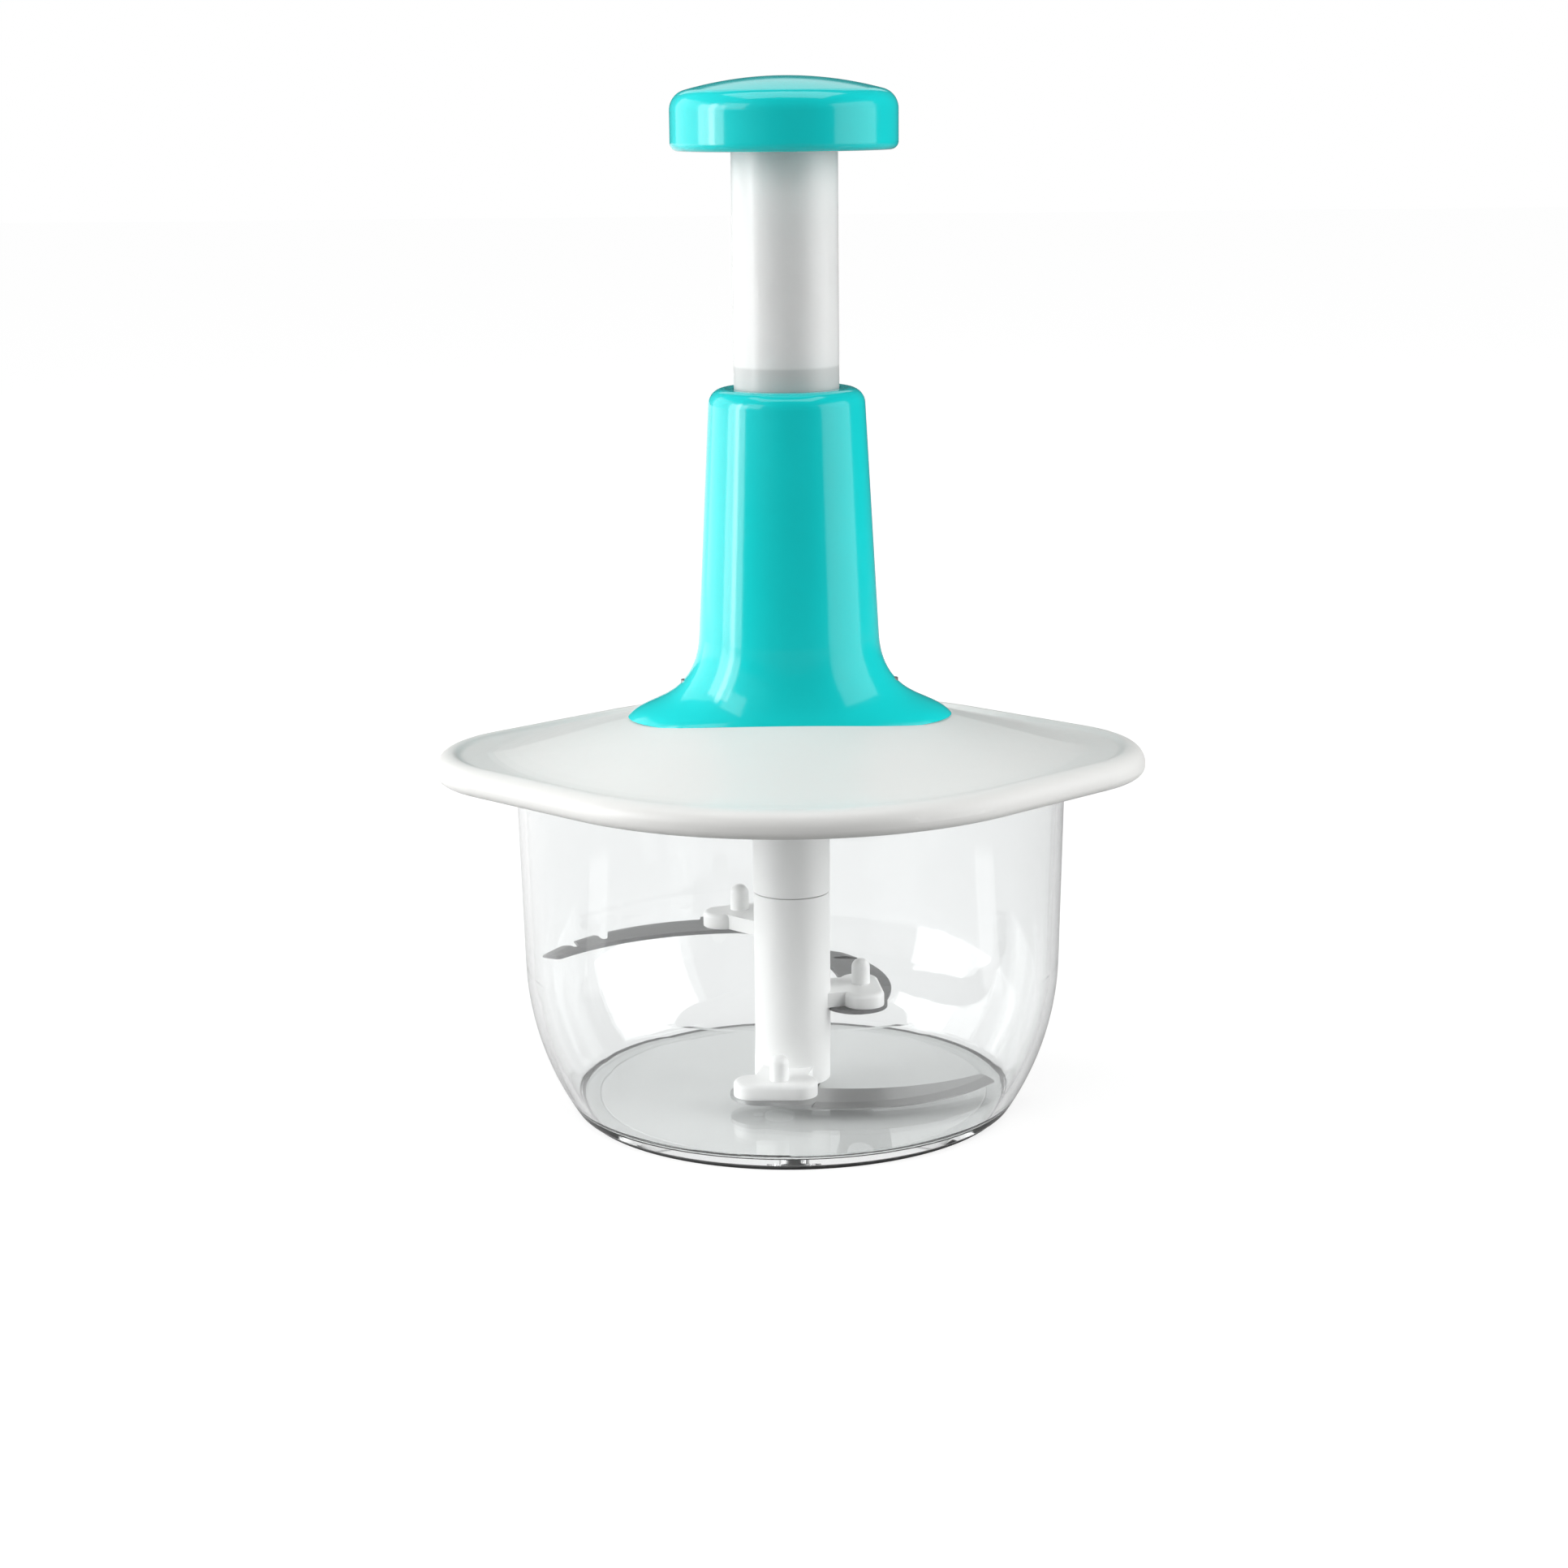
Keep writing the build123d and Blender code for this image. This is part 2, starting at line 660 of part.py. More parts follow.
def make_knob():
    """Hollow mushroom knob with a socket for the tube."""
    crown = Pos(0, knob_top - knob_dome_radius) * Circle(knob_dome_radius)
    section = band(0, knob_radius, knob_bottom, knob_top) & crown
    shoulder = knob_top - knob_dome_radius + sqrt(knob_dome_radius**2 - knob_radius**2)
    section = round_corner(section, knob_radius, shoulder, knob_shoulder_round)
    section = round_corner(section, knob_radius, knob_bottom, knob_bottom_round)
    ceiling = Pos(0, knob_top - knob_dome_radius) * Circle(knob_dome_radius - knob_wall)
    inside = knob_radius - knob_wall
    section -= band(tube_radius + knob_socket_wall, inside, knob_bottom - overrun, knob_top) & ceiling
    section -= band(0, tube_radius, knob_bottom - overrun, tube_top)
    section -= band(0, inside, knob_bottom - overrun, underplate_top)
    return turned(section)


def make_underplate():
    """Ring that closes the knob from below."""
    return ring(knob_radius - knob_wall, tube_radius + press_gap, underplate_bottom, underplate_top)


# Return spring
def spring_centre(half_turn):
    """Centre of the wire after a number of half turns, closed up at both ends."""
    low = guide_flange_top + run_gap + spring_wire * half_share
    high = anchor_bottom - spring_wire * half_share
    active = spring_turns - spring_closed_turns * 2
    closed_pitch = spring_wire + spring_closed_gap
    pitch = (high - low - closed_pitch * spring_closed_turns * 2) / active
    turns = half_turn * half_share
    closed = min(turns, spring_closed_turns) + max(turns - spring_turns + spring_closed_turns, 0)
    height = low + closed * closed_pitch + (turns - closed) * pitch
    radius = spring_outer_radius - spring_wire * half_share
    return Vector(radius * cos(pi * half_turn), radius * sin(pi * half_turn), height)


def spring_heading(half_turn):
    """Direction of the wire after a number of half turns."""
    radius = spring_outer_radius - spring_wire * half_share
    before = spring_centre(max(half_turn - 1, 0))
    after = spring_centre(min(half_turn + 1, spring_turns * 2))
    steps = min(half_turn + 1, spring_turns * 2) - max(half_turn - 1, 0)
    rise = (after.Z - before.Z) / steps
    return Vector(-radius * pi * sin(pi * half_turn), radius * pi * cos(pi * half_turn), rise).normalized()


def biarc(start, start_heading, end, end_heading):
    """Two tangent arcs between two places with given headings."""
    span = end - start
    total = start_heading + end_heading
    bend = 2 * (1 - start_heading.dot(end_heading))
    along = span.dot(total)
    reach = (sqrt(along**2 + bend * span.dot(span)) - along) / bend
    middle = (start + start_heading * reach + end - end_heading * reach) * half_share
    first = TangentArc(start, middle, tangent=start_heading)
    second = TangentArc(middle, end, tangent=-end_heading, tangent_from_first=False)
    return [first, second]


def make_spring():
    """Compression spring from the guide's flange to the rod anchor, one unbroken wire."""
    arcs = []
    for half_turn in range(spring_turns * 2):
        arcs += biarc(
            spring_centre(half_turn), spring_heading(half_turn),
            spring_centre(half_turn + 1), spring_heading(half_turn + 1),
        )
    path = Wire([arc.edge() for arc in arcs])
    start = Plane(origin=spring_centre(0), z_dir=spring_heading(0))
    points = [arc @ share for arc in arcs for share in (0, half_share)]
    least = min(
        dist(tuple(one), tuple(two))
        for index, one in enumerate(points)
        for two in points[index + spring_samples_count // 2: index + spring_samples_count * 2]
    )
    print(f"return_spring least gap {least - spring_wire:.2f} mm, wanted over {spring_least_gap}")
    return sweep(start * Circle(spring_wire * half_share), path=path)


# Nut and socket
def make_teeth():
    """Ring of saw teeth on a flat face, steep on the side that drives."""
    profile = Plane.YZ * make_face(Polyline((0, 0), (-tooth_width, 0), (0, tooth_height), (0, 0)))
    tooth = Pos(tooth_inner_radius, 0, 0) * extrude(profile, tooth_length)
    return [turn * tooth for turn in around(tooth_count, 0)]


def make_nut():
    """Nut that the twisted rod turns, with ratchet teeth below."""
    nut = disc(nut_radius, nut_base, nut_top)
    flip = Pos(0, 0, nut_base) * Rot(full_turn / 2, 0, 0)
    lag = Rot(0, 0, full_turn * tooth_gap / (full_circle * tooth_inner_radius))
    nut += [lag * flip * tooth for tooth in make_teeth()]
    slot_width = rod_width + rod_slot_gap * 2
    slot_thickness = rod_thickness + rod_slot_gap * 2
    return nut - twisted_bar(slot_width, slot_thickness, nut_base - overrun, nut_top + overrun)


def make_socket():
    """Flanged tube hanging from the lid that turns the spindle by its hexagon."""
    socket = disc(socket_radius, socket_bottom, socket_flange_bottom)
    socket += disc(socket_flange_radius, socket_flange_bottom, socket_flange_top)
    socket += [Pos(0, 0, socket_flange_top) * tooth for tooth in make_teeth()]
    socket -= disc(socket_bore_radius, socket_bottom - overrun, socket_flange_top + overrun)
    hexagon = RegularPolygon(hex_flats * half_share + socket_hex_gap, hex_sides, major_radius=False)
    depth = hex_top + socket_hex_relief - socket_bottom
    return socket - Pos(0, 0, socket_bottom - overrun) * extrude(hexagon, depth + overrun)


pieces = {
    "bowl": make_bowl(),
    "non_slip_pad": make_pad(),
    "pivot_pin": make_pivot(),
    "spindle": make_spindle(),
    "spindle_foot": make_foot(),
    "blade_pins": make_blade_pins(),
    "lid": make_lid(),
    "lid_seal": make_seal(),
    "lid_inner_plate": make_inner_plate(),
    "hub_screws": make_hub_screws(),
    "slip_washer": make_washer(),
    "spring_guide": make_spring_guide(),
    "handle_column": make_column(),
    "column_screws": make_column_screws(),
    "guide_bush": make_bush(),
    "press_knob": make_knob(),
    "knob_underplate": make_underplate(),
    "plunger_tube": make_tube(),
    "drive_rod": make_rod(),
    "rod_anchor": make_anchor(),
    "anchor_pin": make_anchor_pin(),
    "return_spring": make_spring(),
    "drive_nut": make_nut(),
    "drive_socket": make_socket(),
}
for level in blade_azimuth_angles:
    pieces[f"blade_{level}"] = make_blade(level)

os.makedirs("parts", exist_ok=True)
for name, shape in pieces.items():
    export_step(shape, f"parts/{name}.step")
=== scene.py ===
import math
from collections import namedtuple

import bmesh
import bpy
from mathutils import Matrix, Vector


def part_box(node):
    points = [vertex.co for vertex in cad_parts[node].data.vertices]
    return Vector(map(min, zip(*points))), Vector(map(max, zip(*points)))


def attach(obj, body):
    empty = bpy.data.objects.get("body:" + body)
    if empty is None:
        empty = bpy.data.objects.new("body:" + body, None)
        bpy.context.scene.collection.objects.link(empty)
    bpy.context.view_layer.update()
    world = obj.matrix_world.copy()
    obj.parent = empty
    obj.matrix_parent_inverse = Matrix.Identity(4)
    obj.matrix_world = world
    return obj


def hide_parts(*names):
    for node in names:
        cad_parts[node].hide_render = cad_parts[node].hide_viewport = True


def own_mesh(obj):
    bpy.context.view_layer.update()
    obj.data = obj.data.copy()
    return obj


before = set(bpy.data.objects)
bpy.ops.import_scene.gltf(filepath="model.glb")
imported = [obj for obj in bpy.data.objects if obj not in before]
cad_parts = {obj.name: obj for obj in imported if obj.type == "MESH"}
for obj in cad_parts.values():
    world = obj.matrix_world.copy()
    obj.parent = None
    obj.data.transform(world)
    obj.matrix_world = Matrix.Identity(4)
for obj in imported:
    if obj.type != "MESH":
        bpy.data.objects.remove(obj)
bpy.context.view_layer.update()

mm = 0.001

# Camera fitted to the photograph
camera_place = Vector((-1.66, -756.0, 255.2)) * mm
camera_pitch = math.radians(12.77)
camera_roll = math.radians(-0.6)
camera_lens = 69.75
camera_sensor = 36.0
camera_near = 10.0 * mm

# Floor: its glow to the camera, and how much of it gloss and clear parts show
floor_reach = 6000.0 * mm
floor_gray = 0.3
floor_near = 250.0 * mm
floor_far = 900.0 * mm
floor_near_glow = 0.73
floor_far_glow = 0.95
gloss_front = -150.0 * mm
gloss_back = 250.0 * mm
gloss_right = 300.0 * mm
gloss_left = -300.0 * mm
shade_start = 40.0 * mm
shade_end = 130.0 * mm
shade_share = 0.84

# Bright wedge on each side of the floor: slants of Y over X, and distances from the middle
streak_slants = (-0.31, -0.28, -0.13, -0.1)
streak_reach = (165.0 * mm, 185.0 * mm, 300.0 * mm, 340.0 * mm)
streak_strength = 1.0

# Room: strengths, and the parts of a direction between which they change
backdrop_strength = 1.0
room_dark_strength = 0.06
room_left_strength = 0.4
room_edges = (-0.1, -0.9)
sweep_edges = (0.35, 0.75)
pure_white = (1, 1, 1, 1)

# Soft boxes
box_aim = Vector((0, 0, 140.0)) * mm
soft_boxes = {
    # name: place, width and height in mm, radiance, and whether gloss shows it
    "left_key": ((-937.0, -200.0, 320.0), (560.0, 620.0), 3.5, True),
    "left_high": ((-678.0, -529.0, 560.0), (420.0, 420.0), 1.9, True),
    "left_strip": ((-858.0, -215.0, 300.0), (110.0, 800.0), 4.6, True),
    "left_glow": ((-900.0, 250.0, 300.0), (1200.0, 900.0), 1.05, True),
    "left_wall": ((-900.0, -20.0, 300.0), (900.0, 1000.0), 1.8, False),
    "front_fill": ((0.0, -1100.0, 560.0), (1500.0, 900.0), 0.2, False),
    "right_glow": ((880.0, -200.0, 250.0), (900.0, 900.0), 1.25, True),
    "right_wall": ((900.0, -120.0, 300.0), (900.0, 1000.0), 3.4, False),
    "back_top": ((-20.0, 760.0, 740.0), (600.0, 560.0), 0.8, True),
    "back_fill": ((-20.0, 760.0, 740.0), (600.0, 560.0), 0.6, False),
    "overhead": ((0.0, -20.0, 1200.0), (1100.0, 780.0), 2.1, True),
}

# Colours, linear
turquoise_color = (0.006, 0.6, 0.605)
white_color = (0.705, 0.705, 0.69)
inner_white_color = (0.93, 0.935, 0.93)
milky_color = (0.93, 0.935, 0.93)
# Painted shade on the tube where the sleeve lies behind it
milky_band_shade_color = (0.72, 0.725, 0.72)
guide_color = (0.3, 0.3, 0.295)
natural_color = (0.72, 0.72, 0.68)
pad_color = (0.85, 0.865, 0.86)
# Painted shade on the pad's outer strip, outside its moulded line
pad_ring_shade_color = (0.72, 0.74, 0.735)
# Painted contact shadow on the pad's sides and underside
pad_foot_shadow_color = (0.035, 0.036, 0.036)
seal_color = (0.70, 0.73, 0.73)
clear_color = (0.915, 0.925, 0.925)
# Painted contact shade on the bowl's foot edge
clear_foot_shade_color = (0.1, 0.1, 0.1)
rod_color = (0.35, 0.35, 0.352)

# Finishes: plain roughness, and the noise that drifts the colour, spreads the roughness and lifts the surface
Grain = namedtuple("Grain", "size detail amount")
Finish = namedtuple("Finish", "roughness drift spread relief", defaults=(None, None, None))
floor_finish = Finish(0.9)
turquoise_finish = Finish(0.12, Grain(26 * mm, 2, 0.05), Grain(4 * mm, 3, 0.03), Grain(9 * mm, 1, 0.02 * mm))
white_finish = Finish(0.35, Grain(30 * mm, 2, 0.02), Grain(3 * mm, 3, 0.07), Grain(1.2 * mm, 2, 0.012 * mm))
natural_finish = Finish(0.5, Grain(9 * mm, 3, 0.05), Grain(2 * mm, 3, 0.08), Grain(0.8 * mm, 2, 0.015 * mm))
milky_finish = Finish(0.45, drift=Grain(18 * mm, 2, 0.02), spread=Grain(3 * mm, 2, 0.05))
clear_finish = Finish(0.015, spread=Grain(8 * mm, 2, 0.015))
rubber_grains = (Grain(12 * mm, 3, 0.04), Grain(2 * mm, 2, 0.08), Grain(0.7 * mm, 2, 0.03 * mm))
pad_finish = Finish(0.6, *rubber_grains)
seal_finish = Finish(0.5, *rubber_grains)
steel_finish = Finish(0.42, *[Grain(1.2 * mm, 4, amount) for amount in (0.12, 0.08, 0.006 * mm)])
steel_stretch = (0.06, 1, 1)

# Directions of the grinding in degrees, and each blade's own painted light and shade level
rod_direction = 90.0
blade_grinds_and_shades = {
    "blade_bottom": (-10.0, 0.41),
    "blade_middle": (-105.0, 0.165),
    "blade_top": (-20.0, 0.22),
}

# Milky tube with painted shade where the sleeve lies behind it, and clear bowl with painted contact shade
# along its foot edge
milky_transmission = 0.4
milky_index = 1.35
milky_coat = 0.3
milky_coat_roughness = 0.12
milky_band_shade_fade = 0.8 * mm
clear_index = 1.49
clear_foot_shade_heights = (1.4 * mm, 1.9 * mm)
clear_foot_shade_fade = 0.2 * mm

# Pad
pad_ring_width = 4.6 * mm
pad_line_width = 0.5 * mm
pad_line_depth = 0.3 * mm
pad_gap = 0.08 * mm
pad_edge_round = 0.3 * mm
pad_steps = 180
merge_distance = 0.001 * mm
sharp_angle = math.radians(35)


# Node helpers
def combine(tree, operation, *values):
    """Values put through one sum."""
    total = tree.nodes.new("ShaderNodeMath")
    total.operation = operation
    for socket, value in zip(total.inputs, values):
        tree.links.new(value, socket)
    return total.outputs[0]


def highest(tree, one, two):
    """Larger of two values."""
    return combine(tree, "MAXIMUM", one, two)


def times(tree, one, two):
    """Product of two values."""
    return combine(tree, "MULTIPLY", one, two)


def between(tree, share, low, high, start=0, end=1):
    """Value from low, a number or a socket, to high as a share goes from start to end."""
    ramp = tree.nodes.new("ShaderNodeMapRange")
    ramp.interpolation_type = "SMOOTHSTEP"
    ramp.inputs["From Min"].default_value = start
    ramp.inputs["From Max"].default_value = end
    if isinstance(low, bpy.types.NodeSocket):
        tree.links.new(low, ramp.inputs["To Min"])
    else:
        ramp.inputs["To Min"].default_value = low
    ramp.inputs["To Max"].default_value = high
    tree.links.new(share, ramp.inputs["Value"])
    return ramp.outputs["Result"]


def inside(tree, value, edges):
    """Share that is one between the two middle edges and fades to zero at the outer two."""
    start, full_start, full_end, end = edges
    rising = between(tree, value, 0, 1, start, full_start)
    falling = between(tree, value, 1, 0, full_end, end)
    return times(tree, rising, falling)


def place_parts(tree, kind):
    """X, Y and Z of the place that is shaded."""
    place = tree.nodes.new("ShaderNodeTexCoord")
    parts = tree.nodes.new("ShaderNodeSeparateXYZ")
    tree.links.new(place.outputs[kind], parts.inputs["Vector"])
    return parts.outputs


def height(tree):
    """Height above the table when the piece is at rest."""
    return place_parts(tree, "Object")["Z"]


def distance(tree):
    """Distance from the middle of the foot."""
    place = tree.nodes.new("ShaderNodeTexCoord")
    away = tree.nodes.new("ShaderNodeVectorMath")
    away.operation = "LENGTH"
    tree.links.new(place.outputs["Object"], away.inputs[0])
    return away.outputs["Value"]


def noise(tree, grain, stretch, angle):
    """Noise of a grain's size and detail, drawn out along its own axes."""
    place = tree.nodes.new("ShaderNodeTexCoord")
    mapping = tree.nodes.new("ShaderNodeMapping")
    mapping.inputs["Rotation"].default_value = (0, 0, angle)
    mapping.inputs["Scale"].default_value = stretch
    cloud = tree.nodes.new("ShaderNodeTexNoise")
    cloud.inputs["Scale"].default_value = 1 / grain.size
    cloud.inputs["Detail"].default_value = grain.detail
    tree.links.new(place.outputs["Object"], mapping.inputs["Vector"])
    tree.links.new(mapping.outputs["Vector"], cloud.inputs["Vector"])
    return cloud.outputs["Fac"]


# Material helpers
def tint(tree, shader, share, color):
    """Base colour that goes over to another colour by a share."""
    base = shader.inputs["Base Color"]
    mix = tree.nodes.new("ShaderNodeMix")
    mix.data_type = "RGBA"
    tree.links.new(share, mix.inputs["Factor"])
    if base.is_linked:
        tree.links.new(base.links[0].from_socket, mix.inputs["A"])
    else:
        mix.inputs["A"].default_value = base.default_value
    mix.inputs["B"].default_value = (*color, 1)
    tree.links.new(mix.outputs["Result"], base)


def vary_color(tree, shader, share, color, spread):
    """Base colour that drifts by a small share either way."""
    shader.inputs["Base Color"].default_value = (*[c * (1 - spread) for c in color], 1)
    tint(tree, shader, share, [c * (1 + spread) for c in color])


def vary_roughness(tree, shader, share, roughness, spread):
    """Roughness that varies by a spread either way."""
    varied = between(tree, share, roughness - spread, roughness + spread)
    tree.links.new(varied, shader.inputs["Roughness"])


def add_bump(tree, shader, share, depth):
    """Fine relief of a depth in metres."""
    bump = tree.nodes.new("ShaderNodeBump")
    bump.inputs["Distance"].default_value = depth
    tree.links.new(share, bump.inputs["Height"])
    tree.links.new(bump.outputs["Normal"], shader.inputs["Normal"])


def start_material(name, color, finish, stretch=(1, 1, 1), angle=0):
    """Principled material of a colour, varied as its finish says."""
    material = bpy.data.materials.new(name)
    material.use_nodes = True
    tree = material.node_tree
    shader = tree.nodes["Principled BSDF"]
    shader.inputs["Base Color"].default_value = (*color, 1)
    shader.inputs["Roughness"].default_value = finish.roughness
    if finish.drift:
        share = noise(tree, finish.drift, stretch, angle)
        vary_color(tree, shader, share, color, finish.drift.amount)
    if finish.spread:
        share = noise(tree, finish.spread, stretch, angle)
        vary_roughness(tree, shader, share, finish.roughness, finish.spread.amount)
    if finish.relief:
        share = noise(tree, finish.relief, stretch, angle)
        add_bump(tree, shader, share, finish.relief.amount)
    return material, tree, shader


# Camera and studio
def add_object(name, data):
    """New object in the scene."""
    thing = bpy.data.objects.new(name, data)
    bpy.context.scene.collection.objects.link(thing)
    return thing


def add_camera():
    """Camera at the photograph's place and angle."""
    data = bpy.data.cameras.new("camera")
    data.lens = camera_lens
    data.sensor_width = camera_sensor
    data.sensor_height = camera_sensor
    data.clip_start = camera_near
    camera = add_object("camera", data)
    aim = Matrix.Rotation(math.pi / 2 - camera_pitch, 4, "X") @ Matrix.Rotation(camera_roll, 4, "Z")
    camera.matrix_world = Matrix.Translation(camera_place) @ aim
    bpy.context.scene.camera = camera


def add_soft_box(name, place, size, radiance, in_gloss):
    """Rectangular lamp that faces the object."""
    data = bpy.data.lights.new(name, "AREA")
    data.shape = "RECTANGLE"
    data.size = size[0] * mm
    data.size_y = size[1] * mm
    data.energy = radiance * math.pi * data.size * data.size_y
    lamp = add_object(name, data)
    lamp.location = Vector(place) * mm
    lamp.rotation_euler = (box_aim - lamp.location).to_track_quat("-Z", "Y").to_euler()
    lamp.visible_camera = False
    lamp.visible_glossy = in_gloss


def set_world():
    """White to the camera; a dark room, lit on the left, with a white sweep behind the clear parts."""
    world = bpy.data.worlds.new("studio")
    world.use_nodes = True
    tree = world.node_tree
    sky = tree.nodes["Background"]
    sky.inputs["Color"].default_value = pure_white
    direction = place_parts(tree, "Generated")
    room = between(tree, direction["X"], room_dark_strength, room_left_strength, *room_edges)
    behind = between(tree, direction["Y"], 0, 1, *sweep_edges)
    path = tree.nodes.new("ShaderNodeLightPath")
    sweep = times(tree, behind, path.outputs["Is Transmission Ray"])
    shown = highest(tree, path.outputs["Is Camera Ray"], sweep)
    tree.links.new(between(tree, shown, room, backdrop_strength), sky.inputs["Strength"])
    bpy.context.scene.world = world


def make_streak(tree, place):
    """Share of a bright wedge on each side, seen as a streak in the bowl's wall."""
    side = combine(tree, "ABSOLUTE", place["X"])
    slant = combine(tree, "DIVIDE", place["Y"], side)
    return times(tree, inside(tree, slant, streak_slants), inside(tree, side, streak_reach))


def make_floor():
    """Matte floor that glows to the camera, and less so in gloss and through clear parts."""
    material, tree, shader = start_material("floor", (floor_gray,) * 3, floor_finish)
    shader.inputs["Specular IOR Level"].default_value = 0
    shader.inputs["Emission Color"].default_value = pure_white
    place = place_parts(tree, "Object")
    path = tree.nodes.new("ShaderNodeLightPath").outputs
    glow = between(tree, distance(tree), floor_near_glow, floor_far_glow, floor_near, floor_far)
    behind = between(tree, place["Y"], 0, 1, gloss_front, gloss_back)
    to_left = between(tree, place["X"], 0, 1, gloss_right, gloss_left)
    shade = between(tree, place["X"], 1, shade_share, shade_start, shade_end)
    in_gloss = times(tree, times(tree, behind, to_left), path["Is Glossy Ray"])
    in_clear = times(tree, shade, path["Is Transmission Ray"])
    shown = highest(tree, highest(tree, path["Is Camera Ray"], in_clear), in_gloss)
    streak = times(tree, make_streak(tree, place), path["Is Glossy Ray"])
    lit = highest(tree, times(tree, shown, glow), between(tree, streak, 0, streak_strength))
    tree.links.new(lit, shader.inputs["Emission Strength"])
    return material


def add_floor():
    """Pale floor that keeps the object's shadow."""
    corners = [(-1, -1), (1, -1), (1, 1), (-1, 1)]
    mesh = bpy.data.meshes.new("floor")
    mesh.from_pydata([(x * floor_reach, y * floor_reach, 0) for x, y in corners], [], [(0, 1, 2, 3)])
    mesh.materials.append(make_floor())
    add_object("floor", mesh)


# Materials
def make_turquoise():
    """Gloss moulded plastic with a faint flow ripple."""
    material, _, _ = start_material("turquoise_plastic", turquoise_color, turquoise_finish)
    return material


def make_white(name, color):
    """Satin moulded plastic."""
    material, _, _ = start_material(name, color, white_finish)
    return material


def make_natural(name, color):
    """Moulded plastic of the inner parts."""
    material, _, _ = start_material(name, color, natural_finish)
    return material


def make_seal():
    """Soft rubber with a fine even grain."""
    material, _, _ = start_material("seal_rubber", seal_color, seal_finish)
    return material


def make_steel(name, direction, color):
    """Ground steel with fine streaks along one direction in degrees."""
    material, _, shader = start_material(name, color, steel_finish, steel_stretch, math.radians(direction))
    shader.inputs["Metallic"].default_value = 1
    return material


def make_milky():
    """Milky plastic that lets the dark sleeve show through, with painted shade below the sleeve's top that
    deepens it.
    """
    material, tree, shader = start_material("milky_plastic", milky_color, milky_finish)
    shader.inputs["Transmission Weight"].default_value = milky_transmission
    shader.inputs["IOR"].default_value = milky_index
    shader.inputs["Coat Weight"].default_value = milky_coat
    shader.inputs["Coat Roughness"].default_value = milky_coat_roughness
    sleeve_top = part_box("spring_guide")[1][2]
    # Painted shade: the tube turns darker below the sleeve's top, for the sleeve seen through the milky wall
    sleeve_shade = between(tree, height(tree), 1, 0, sleeve_top - milky_band_shade_fade, sleeve_top)
    tint(tree, shader, sleeve_shade, milky_band_shade_color)
    return material


def make_clear():
    """Clear polished plastic, painted dark and opaque low on the foot's outer edge as painted contact shade.
    """
    material, tree, shader = start_material("clear_plastic", clear_color, clear_finish)
    shader.inputs["IOR"].default_value = clear_index
    pad_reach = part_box("non_slip_pad")[1][0]
    outside = between(tree, distance(tree), 0, 1, pad_reach, pad_reach + clear_foot_shade_fade)
    # Painted contact shade: low on the foot, outside the pad, the plastic turns dark and opaque
    foot = times(tree, outside, between(tree, height(tree), 1, 0, *clear_foot_shade_heights))
    tint(tree, shader, foot, clear_foot_shade_color)
    tree.links.new(between(tree, foot, 1, 0), shader.inputs["Transmission Weight"])
    return material


def make_pad():
    """Matte rubber disc, with painted shade outside its moulded line and a painted contact shadow on its
    foot.
    """
    material, tree, shader = start_material("pad_rubber", pad_color, pad_finish)
    pad_reach, _, pad_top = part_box("non_slip_pad")[1]
    ring_inside = pad_reach - pad_ring_width
    # Painted shade: the pad's outer strip, outside its moulded line, is darker
    ring_shade = between(tree, distance(tree), 0, 1, ring_inside - pad_line_width, ring_inside)
    # Painted contact shadow: the pad turns near black below its top edge
    foot = between(tree, height(tree), 1, 0, pad_top - 2 * pad_edge_round, pad_top - pad_edge_round)
    tint(tree, shader, ring_shade, pad_ring_shade_color)
    tint(tree, shader, foot, pad_foot_shadow_color)
    return material


# Pieces
def dress(material, *nodes):
    """Give CAD nodes a material."""
    for name in nodes:
        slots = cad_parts[name].data.materials
        slots.clear()
        slots.append(material)


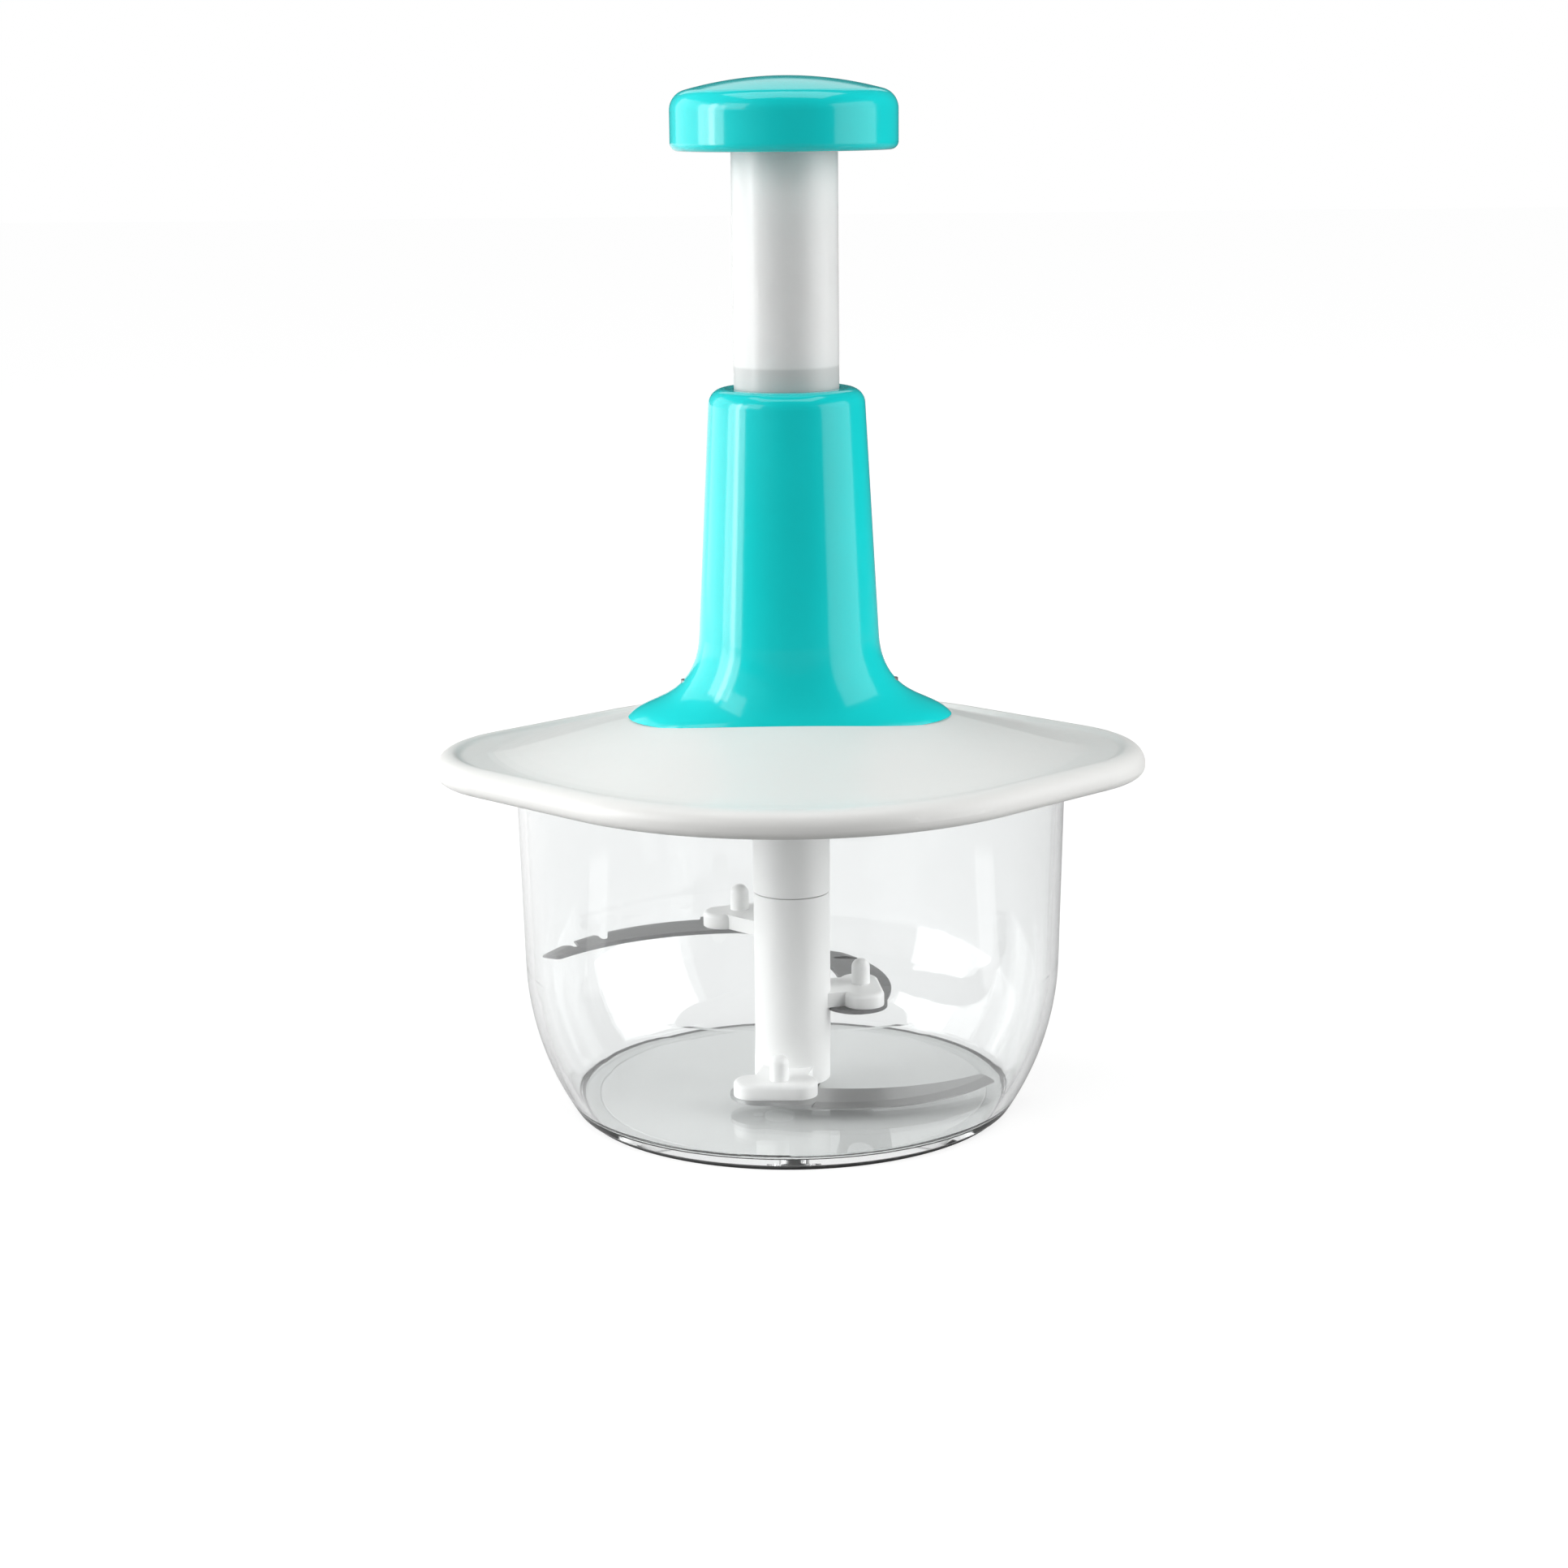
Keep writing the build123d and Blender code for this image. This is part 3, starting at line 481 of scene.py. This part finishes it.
def dress_all():
    """Give every node its material."""
    dress(make_clear(), "bowl")
    dress(make_seal(), "lid_seal")
    dress(make_turquoise(), "press_knob", "knob_underplate", "handle_column")
    dress(make_milky(), "plunger_tube")
    dress(make_white("white_plastic", white_color), "lid", "lid_inner_plate")
    dress(make_white("inner_white_plastic", inner_white_color), "spindle", "blade_pins", "drive_socket")
    dress(make_natural("natural_plastic", natural_color),
          "drive_nut", "spindle_foot", "guide_bush", "slip_washer", "rod_anchor")
    dress(make_natural("guide_plastic", guide_color), "spring_guide")
    # Each blade's steel is a lit or shaded copy of one steel, with painted light and shade
    for name, (direction, painted_brightness) in blade_grinds_and_shades.items():
        dress(make_steel(f"{name}_steel", direction, (painted_brightness,) * 3), name)
    dress(make_steel("rod_steel", rod_direction, rod_color),
          "drive_rod", "return_spring", "pivot_pin", "anchor_pin", "hub_screws", "column_screws")


def lathe(name, outline):
    """Mesh object turned about the upright axis from points of distance and height."""
    shape = bmesh.new()
    points = [shape.verts.new((reach, 0, level)) for reach, level in outline]
    edges = [shape.edges.new(pair) for pair in zip(points, points[1:])]
    bmesh.ops.spin(shape, geom=points + edges, axis=(0, 0, 1), cent=(0, 0, 0),
                   steps=pad_steps, angle=math.tau)
    bmesh.ops.remove_doubles(shape, verts=shape.verts, dist=merge_distance)
    bmesh.ops.recalc_face_normals(shape, faces=shape.faces)
    mesh = bpy.data.meshes.new(name)
    shape.to_mesh(mesh)
    shape.free()
    mesh.shade_smooth()
    mesh.set_sharp_from_angle(angle=sharp_angle)
    return add_object(name, mesh)


def add_pad():
    """Pad disc with a moulded line, set a hair under the clear floor."""
    reach, _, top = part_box("non_slip_pad")[1]
    face = top - pad_gap
    line = reach - pad_ring_width
    inner = reach - pad_edge_round
    under = [(0, 0), (inner, 0), (reach, pad_edge_round)]
    rim = [(reach, face - pad_edge_round), (inner, face)]
    groove = [(line, face), (line - pad_line_width / 2, face - pad_line_depth), (line - pad_line_width, face)]
    pad = lathe("pad_disc", [*under, *rim, *groove, (0, face)])
    pad.data.materials.append(make_pad())
    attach(pad, "bowl")
    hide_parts("non_slip_pad")


def add_spring():
    """Return spring, as a mesh of its own, that rides with the lid on the lid's guide."""
    spring = add_object("spring_coil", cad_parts["return_spring"].data.copy())
    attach(spring, "lid")
    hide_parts("return_spring")
    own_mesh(spring)


def let_light_into_bowl():
    """Lamps and fill reach what stands behind the clear wall."""
    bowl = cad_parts["bowl"]
    bowl.visible_shadow = False
    bowl.visible_diffuse = False


# Scene
add_camera()
set_world()
add_floor()
for name, settings in soft_boxes.items():
    add_soft_box(name, *settings)
dress_all()
add_pad()
add_spring()
let_light_into_bowl()
bpy.context.scene.view_settings.view_transform = "Standard"
